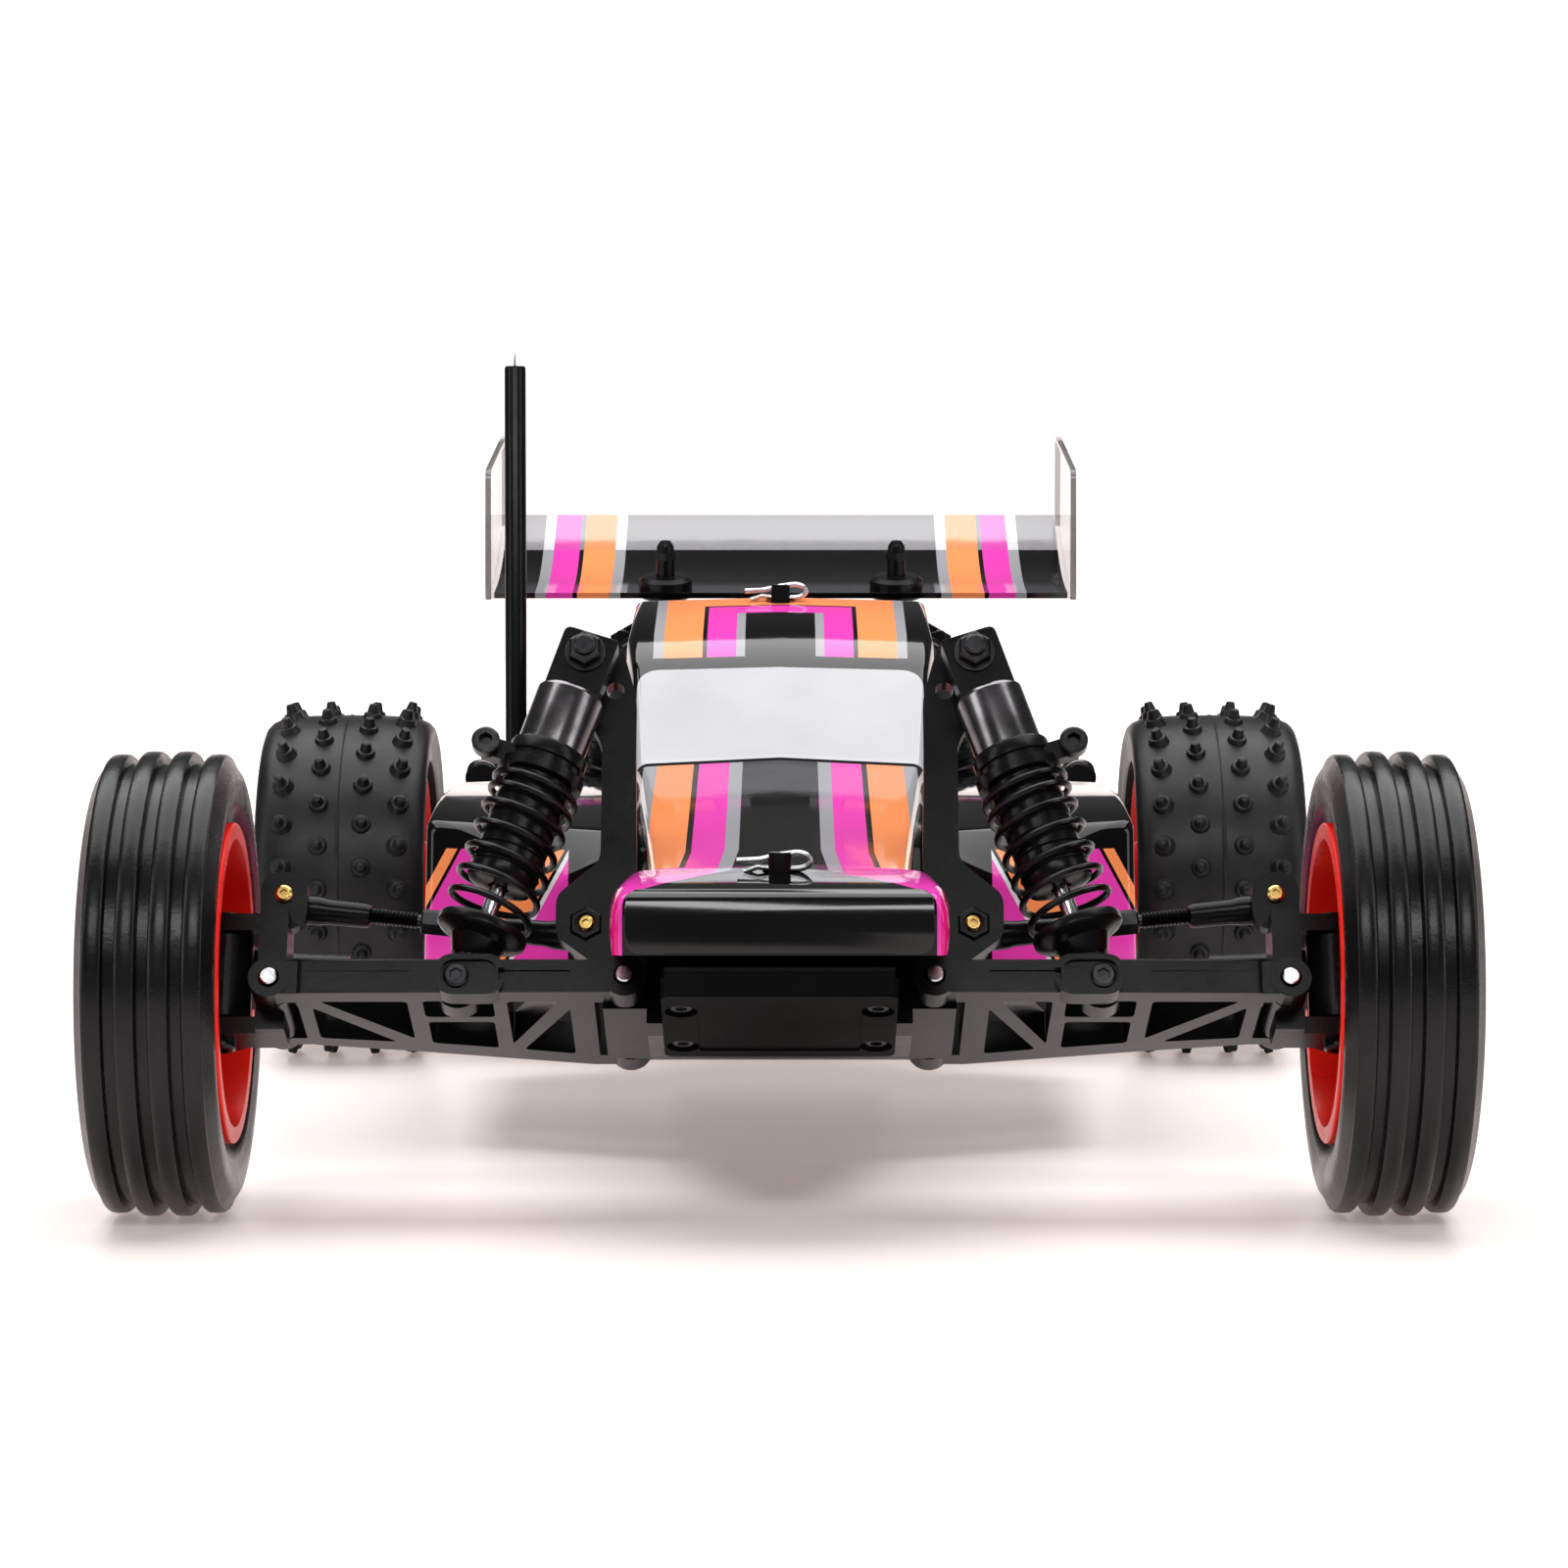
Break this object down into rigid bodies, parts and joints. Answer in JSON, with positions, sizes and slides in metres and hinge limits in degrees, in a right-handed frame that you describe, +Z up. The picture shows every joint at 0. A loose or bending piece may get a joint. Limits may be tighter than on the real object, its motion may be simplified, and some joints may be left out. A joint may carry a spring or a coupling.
{
  "type": "radio-controlled off-road buggy",
  "caption": "Small two-wheel-drive radio-controlled off-road buggy with sprung arms, ribbed front and spiked rear tyres, striped body shell, rear wing and antenna.",
  "frame": {"origin": "on the ground plane, midway between the outermost points of the car in length and width", "axes": "+Z up from the ground, -Y towards the nose, +X to the driver's left"},
  "size_m": [0.16, 0.246, 0.106],
  "materials": {
    "black_plastic": "satin moulded nylon",
    "painted_shell": "gloss painted polycarbonate with magenta, orange and silver stripes",
    "smoked_wing": "gloss smoked polycarbonate, part clear",
    "red_plastic": "fluorescent red moulded nylon",
    "tyre": "soft black rubber with a slight sheen",
    "gunmetal": "polished gunmetal",
    "steel": "bright steel",
    "black_spring": "black coated spring steel",
    "brass": "polished brass",
    "motor_steel": "zinc-plated steel",
    "white_nylon": "natural nylon",
    "battery_wrap": "shrink-wrapped film",
    "electronics_case": "matte moulded case"
  },
  "bodies": {
    "chassis_body": {"chassis": "black_plastic", "front_bulkhead": "black_plastic", "front_bumper": "black_plastic", "front_shock_tower": "black_plastic", "body_shell": "painted_shell", "gearbox_case": "black_plastic", "rear_shock_tower": "black_plastic", "rear_wing": "smoked_wing", "battery_pack": "battery_wrap", "battery_strap": "black_plastic", "speed_controller": "electronics_case", "steering_servo": "electronics_case", "antenna_tube": "black_plastic", "drive_motor": "motor_steel"},
    "servo_horn": {"servo_horn": "black_plastic"},
    "front_arm_left": {"front_arm_left": "black_plastic"},
    "caster_block_left": {"caster_block_left": "black_plastic"},
    "front_camber_link_left": {"front_camber_link_left": "black_plastic"},
    "front_shock_body_left": {"front_shock_body_left": "gunmetal", "front_spring_left": "black_spring"},
    "front_shock_shaft_left": {"front_shock_shaft_left": "steel"},
    "rear_arm_left": {"rear_arm_left": "black_plastic"},
    "rear_hub_left": {"rear_hub_left": "black_plastic"},
    "rear_camber_link_left": {"rear_camber_link_left": "black_plastic"},
    "rear_shock_body_left": {"rear_shock_body_left": "gunmetal", "rear_spring_left": "black_spring"},
    "rear_shock_shaft_left": {"rear_shock_shaft_left": "steel"},
    "steering_knuckle_left": {"steering_knuckle_left": "black_plastic"},
    "tie_rod_ball_left": {"tie_rod_ball_left": "brass"},
    "tie_rod_left": {"tie_rod_left": "black_plastic"},
    "front_wheel_left": {"front_rim_left": "red_plastic", "front_tyre_left": "tyre"},
    "rear_wheel_left": {"rear_rim_left": "red_plastic", "rear_tyre_left": "tyre", "rear_axle_left": "steel"},
    "drive_shaft_left": {"drive_shaft_left": "steel"},
    "front_arm_right": {"front_arm_right": "black_plastic"},
    "caster_block_right": {"caster_block_right": "black_plastic"},
    "front_camber_link_right": {"front_camber_link_right": "black_plastic"},
    "front_shock_body_right": {"front_shock_body_right": "gunmetal", "front_spring_right": "black_spring"},
    "front_shock_shaft_right": {"front_shock_shaft_right": "steel"},
    "rear_arm_right": {"rear_arm_right": "black_plastic"},
    "rear_hub_right": {"rear_hub_right": "black_plastic"},
    "rear_camber_link_right": {"rear_camber_link_right": "black_plastic"},
    "rear_shock_body_right": {"rear_shock_body_right": "gunmetal", "rear_spring_right": "black_spring"},
    "rear_shock_shaft_right": {"rear_shock_shaft_right": "steel"},
    "steering_knuckle_right": {"steering_knuckle_right": "black_plastic"},
    "tie_rod_ball_right": {"tie_rod_ball_right": "brass"},
    "tie_rod_right": {"tie_rod_right": "black_plastic"},
    "front_wheel_right": {"front_rim_right": "red_plastic", "front_tyre_right": "tyre"},
    "rear_wheel_right": {"rear_rim_right": "red_plastic", "rear_tyre_right": "tyre", "rear_axle_right": "steel"},
    "drive_shaft_right": {"drive_shaft_right": "steel"},
    "differential_gear": {"differential_gear": "black_plastic"},
    "spur_gear": {"spur_gear": "white_nylon"},
    "pinion_gear": {"pinion_gear": "brass"}
  },
  "joints": [
    {"name": "steering_servo_turn", "type": "hinge", "parent": "chassis_body", "child": "servo_horn", "pos_m": [0, -0.08358, 0.03728], "axis": [0, 1, 0], "range_deg": [-24, 24]},
    {"name": "front_arm_left_swing", "type": "hinge", "parent": "chassis_body", "child": "front_arm_left", "pos_m": [0.018, -0.095, 0.0239], "axis": [0, -0.9063, 0.4226], "range_deg": [-10, 13], "stiffness_Nm_per_rad": 0.55, "springref_deg": -6.25},
    {"name": "caster_block_left_pivot", "type": "hinge", "parent": "front_arm_left", "child": "caster_block_left", "pos_m": [0.0593, -0.095, 0.0239], "axis": [0, -0.9063, 0.4226], "range_deg": [-8.75, 6.74]},
    {"name": "front_camber_link_left_pivot", "type": "hinge", "parent": "chassis_body", "child": "front_camber_link_left", "pos_m": [0.023, -0.08973, 0.03236], "axis": [0, -0.9063, 0.4226], "range_deg": [-11.77, 15.29]},
    {"name": "front_shock_body_left_pivot", "type": "hinge", "parent": "chassis_body", "child": "front_shock_body_left", "pos_m": [0.0231, -0.08373, 0.06653], "axis": [0, -0.9063, 0.4226], "range_deg": [-1.28, 1.65]},
    {"name": "front_shock_shaft_left_travel", "type": "slide", "parent": "front_shock_body_left", "child": "front_shock_shaft_left", "axis": [0.3149, -0.4011, -0.8602], "range_m": [-0.00437, 0.00337], "deforming": ["front_spring_left"]},
    {"name": "rear_arm_left_swing", "type": "hinge", "parent": "chassis_body", "child": "rear_arm_left", "pos_m": [0.014, 0.079, 0.018], "axis": [0, -1, 0], "range_deg": [-10, 13], "stiffness_Nm_per_rad": 0.75, "springref_deg": -5.73},
    {"name": "rear_hub_left_pivot", "type": "hinge", "parent": "rear_arm_left", "child": "rear_hub_left", "pos_m": [0.044, 0.079, 0.018], "axis": [0, -1, 0], "range_deg": [-13.46, 10.36]},
    {"name": "rear_camber_link_left_pivot", "type": "hinge", "parent": "chassis_body", "child": "rear_camber_link_left", "pos_m": [0.02, 0.07, 0.044], "axis": [0, -1, 0], "range_deg": [-11.82, 15.35]},
    {"name": "rear_shock_body_left_pivot", "type": "hinge", "parent": "chassis_body", "child": "rear_shock_body_left", "pos_m": [0.022, 0.0595, 0.064], "axis": [0, -1, 0], "range_deg": [-0.62, 0.8]},
    {"name": "rear_shock_shaft_left_travel", "type": "slide", "parent": "rear_shock_body_left", "child": "rear_shock_shaft_left", "axis": [0.2631, 0, -0.9648], "range_m": [-0.00465, 0.00359], "deforming": ["rear_spring_left"]},
    {"name": "steering_knuckle_left_turn", "type": "hinge", "parent": "caster_block_left", "child": "steering_knuckle_left", "pos_m": [0.0657, -0.09498, 0.02749], "axis": [0, 0.4226, 0.9063], "range_deg": [-22, 22]},
    {"name": "tie_rod_ball_left_turn", "type": "hinge", "parent": "servo_horn", "child": "tie_rod_ball_left", "pos_m": [0.004, -0.08358, 0.02828], "axis": [0, 1, 0], "range_deg": [-26, 26]},
    {"name": "tie_rod_left_tilt", "type": "hinge", "parent": "tie_rod_ball_left", "child": "tie_rod_left", "pos_m": [0.004, -0.08358, 0.02828], "axis": [0, -0.9063, 0.4226], "range_deg": [-7.37, 9.57]},
    {"name": "front_wheel_left_spin", "type": "hinge", "parent": "steering_knuckle_left", "child": "front_wheel_left", "pos_m": [0.072, -0.095, 0.0275], "axis": [1, 0, 0], "continuous": true},
    {"name": "rear_wheel_left_spin", "type": "hinge", "parent": "rear_hub_left", "child": "rear_wheel_left", "pos_m": [0.062, 0.079, 0.0275], "axis": [1, 0, 0], "continuous": true},
    {"name": "drive_shaft_left_swing", "type": "hinge", "parent": "chassis_body", "child": "drive_shaft_left", "pos_m": [0.0145, 0.079, 0.0275], "axis": [0, -1, 0], "range_deg": [-11.61, 15.07]},
    {"name": "front_arm_right_swing", "type": "hinge", "parent": "chassis_body", "child": "front_arm_right", "pos_m": [-0.018, -0.095, 0.0239], "axis": [0, 0.9063, -0.4226], "range_deg": [-10, 13], "stiffness_Nm_per_rad": 0.55, "springref_deg": -6.25},
    {"name": "caster_block_right_pivot", "type": "hinge", "parent": "front_arm_right", "child": "caster_block_right", "pos_m": [-0.0593, -0.095, 0.0239], "axis": [0, 0.9063, -0.4226], "range_deg": [-8.75, 6.74]},
    {"name": "front_camber_link_right_pivot", "type": "hinge", "parent": "chassis_body", "child": "front_camber_link_right", "pos_m": [-0.023, -0.08973, 0.03236], "axis": [0, 0.9063, -0.4226], "range_deg": [-11.77, 15.29]},
    {"name": "front_shock_body_right_pivot", "type": "hinge", "parent": "chassis_body", "child": "front_shock_body_right", "pos_m": [-0.0231, -0.08373, 0.06653], "axis": [0, 0.9063, -0.4226], "range_deg": [-1.28, 1.65]},
    {"name": "front_shock_shaft_right_travel", "type": "slide", "parent": "front_shock_body_right", "child": "front_shock_shaft_right", "axis": [-0.3149, -0.4011, -0.8602], "range_m": [-0.00437, 0.00337], "deforming": ["front_spring_right"]},
    {"name": "rear_arm_right_swing", "type": "hinge", "parent": "chassis_body", "child": "rear_arm_right", "pos_m": [-0.014, 0.079, 0.018], "axis": [0, 1, 0], "range_deg": [-10, 13], "stiffness_Nm_per_rad": 0.75, "springref_deg": -5.73},
    {"name": "rear_hub_right_pivot", "type": "hinge", "parent": "rear_arm_right", "child": "rear_hub_right", "pos_m": [-0.044, 0.079, 0.018], "axis": [0, 1, 0], "range_deg": [-13.46, 10.36]},
    {"name": "rear_camber_link_right_pivot", "type": "hinge", "parent": "chassis_body", "child": "rear_camber_link_right", "pos_m": [-0.02, 0.07, 0.044], "axis": [0, 1, 0], "range_deg": [-11.82, 15.35]},
    {"name": "rear_shock_body_right_pivot", "type": "hinge", "parent": "chassis_body", "child": "rear_shock_body_right", "pos_m": [-0.022, 0.0595, 0.064], "axis": [0, 1, 0], "range_deg": [-0.62, 0.8]},
    {"name": "rear_shock_shaft_right_travel", "type": "slide", "parent": "rear_shock_body_right", "child": "rear_shock_shaft_right", "axis": [-0.2631, 0, -0.9648], "range_m": [-0.00465, 0.00359], "deforming": ["rear_spring_right"]},
    {"name": "steering_knuckle_right_turn", "type": "hinge", "parent": "caster_block_right", "child": "steering_knuckle_right", "pos_m": [-0.0657, -0.09498, 0.02749], "axis": [0, 0.4226, 0.9063], "range_deg": [-22, 22]},
    {"name": "tie_rod_ball_right_turn", "type": "hinge", "parent": "servo_horn", "child": "tie_rod_ball_right", "pos_m": [-0.004, -0.08358, 0.02828], "axis": [0, 1, 0], "range_deg": [-26, 26]},
    {"name": "tie_rod_right_tilt", "type": "hinge", "parent": "tie_rod_ball_right", "child": "tie_rod_right", "pos_m": [-0.004, -0.08358, 0.02828], "axis": [0, 0.9063, -0.4226], "range_deg": [-7.37, 9.57]},
    {"name": "front_wheel_right_spin", "type": "hinge", "parent": "steering_knuckle_right", "child": "front_wheel_right", "pos_m": [-0.072, -0.095, 0.0275], "axis": [1, 0, 0], "continuous": true},
    {"name": "rear_wheel_right_spin", "type": "hinge", "parent": "rear_hub_right", "child": "rear_wheel_right", "pos_m": [-0.062, 0.079, 0.0275], "axis": [1, 0, 0], "continuous": true},
    {"name": "drive_shaft_right_swing", "type": "hinge", "parent": "chassis_body", "child": "drive_shaft_right", "pos_m": [-0.0145, 0.079, 0.0275], "axis": [0, 1, 0], "range_deg": [-11.61, 15.07]},
    {"name": "differential_gear_spin", "type": "hinge", "parent": "chassis_body", "child": "differential_gear", "pos_m": [0, 0.079, 0.0275], "axis": [1, 0, 0], "continuous": true},
    {"name": "spur_gear_spin", "type": "hinge", "parent": "chassis_body", "child": "spur_gear", "pos_m": [0, 0.08052, 0.04363], "axis": [1, 0, 0], "continuous": true},
    {"name": "pinion_gear_spin", "type": "hinge", "parent": "chassis_body", "child": "pinion_gear", "pos_m": [0, 0.09775, 0.04605], "axis": [1, 0, 0], "continuous": true}
  ],
  "couplings": [
    {"joint": "caster_block_left_pivot", "follows": "front_arm_left_swing", "ratio": -0.65634},
    {"joint": "front_camber_link_left_pivot", "follows": "front_arm_left_swing", "ratio": 1.1493},
    {"joint": "front_shock_body_left_pivot", "follows": "front_arm_left_swing", "ratio": 0.12076},
    {"joint": "front_shock_shaft_left_travel", "follows": "front_arm_left_swing", "m_per_rad": -0.01865},
    {"joint": "rear_hub_left_pivot", "follows": "rear_arm_left_swing", "ratio": -1.0111},
    {"joint": "rear_camber_link_left_pivot", "follows": "rear_arm_left_swing", "ratio": 1.1541},
    {"joint": "rear_shock_body_left_pivot", "follows": "rear_arm_left_swing", "ratio": 0.05621},
    {"joint": "rear_shock_shaft_left_travel", "follows": "rear_arm_left_swing", "m_per_rad": -0.01986},
    {"joint": "steering_knuckle_left_turn", "follows": "steering_servo_turn", "ratio": 0.8978},
    {"joint": "tie_rod_ball_left_turn", "follows": "steering_servo_turn", "ratio": -1},
    {"joint": "tie_rod_left_tilt", "follows": "front_arm_left_swing", "ratio": 0.71807},
    {"joint": "drive_shaft_left_swing", "follows": "rear_arm_left_swing", "ratio": 1.1329},
    {"joint": "caster_block_right_pivot", "follows": "front_arm_right_swing", "ratio": -0.65634},
    {"joint": "front_camber_link_right_pivot", "follows": "front_arm_right_swing", "ratio": 1.1493},
    {"joint": "front_shock_body_right_pivot", "follows": "front_arm_right_swing", "ratio": 0.12076},
    {"joint": "front_shock_shaft_right_travel", "follows": "front_arm_right_swing", "m_per_rad": -0.01865},
    {"joint": "rear_hub_right_pivot", "follows": "rear_arm_right_swing", "ratio": -1.0111},
    {"joint": "rear_camber_link_right_pivot", "follows": "rear_arm_right_swing", "ratio": 1.1541},
    {"joint": "rear_shock_body_right_pivot", "follows": "rear_arm_right_swing", "ratio": 0.05621},
    {"joint": "rear_shock_shaft_right_travel", "follows": "rear_arm_right_swing", "m_per_rad": -0.01986},
    {"joint": "steering_knuckle_right_turn", "follows": "steering_servo_turn", "ratio": 0.8978},
    {"joint": "tie_rod_ball_right_turn", "follows": "steering_servo_turn", "ratio": -1},
    {"joint": "tie_rod_right_tilt", "follows": "front_arm_right_swing", "ratio": 0.71807},
    {"joint": "rear_wheel_right_spin", "follows": "rear_wheel_left_spin", "ratio": 1},
    {"joint": "drive_shaft_right_swing", "follows": "rear_arm_right_swing", "ratio": 1.1329},
    {"joint": "differential_gear_spin", "follows": "rear_wheel_left_spin", "ratio": 1},
    {"joint": "spur_gear_spin", "follows": "rear_wheel_left_spin", "ratio": -2.8571},
    {"joint": "pinion_gear_spin", "follows": "rear_wheel_left_spin", "ratio": 5.4286}
  ]
}
